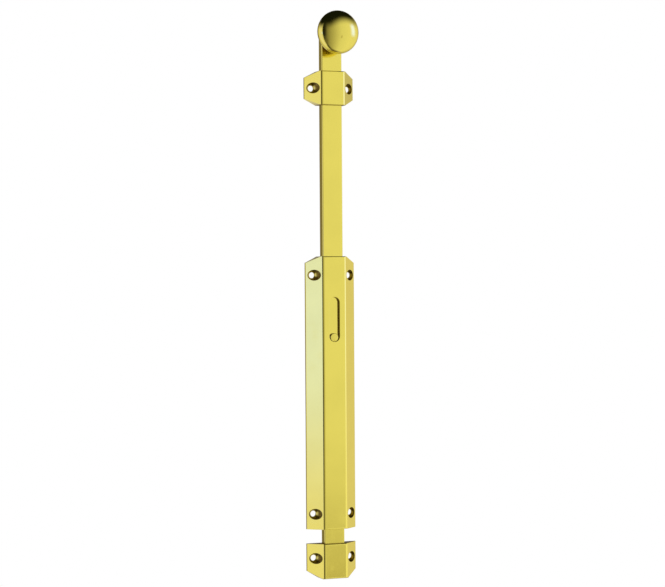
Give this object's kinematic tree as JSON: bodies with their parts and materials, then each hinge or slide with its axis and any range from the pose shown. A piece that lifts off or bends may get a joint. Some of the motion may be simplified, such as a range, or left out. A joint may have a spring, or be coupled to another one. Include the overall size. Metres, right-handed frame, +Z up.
{
  "type": "surface bolt",
  "caption": "Straight surface bolt with a bevelled casing, a flat sliding rod, a slotted throw stop, a guide bracket, a keep and a round knob.",
  "frame": {"origin": "centre of the casing's four screw holes on the mounting plane", "axes": "+Z up along the rod from the keep to the knob, +Y into the door, +X to the right seen from the front"},
  "size_m": [0.039, 0.0292, 0.4215],
  "materials": {
    "polished_brass": "polished and lacquered",
    "rod_brass": "polished and lacquered",
    "knob_brass": "turned, polished and lacquered",
    "pin_brass": "polished",
    "spring_bronze": "bare rolled strip",
    "screw_steel": "zinc plated"
  },
  "bodies": {
    "fixings": {"bolt_casing": "polished_brass", "guide_bracket": "polished_brass", "keep": "polished_brass"},
    "rod": {"bolt_rod": "rod_brass", "stop_pin": "pin_brass", "bow_spring": "spring_bronze", "knob": "knob_brass", "knob_screw": "screw_steel"}
  },
  "joints": [
    {"name": "rod_slide", "type": "slide", "parent": "fixings", "child": "rod", "axis": [0, 0, 1], "range_m": [0, 0.027]}
  ]
}
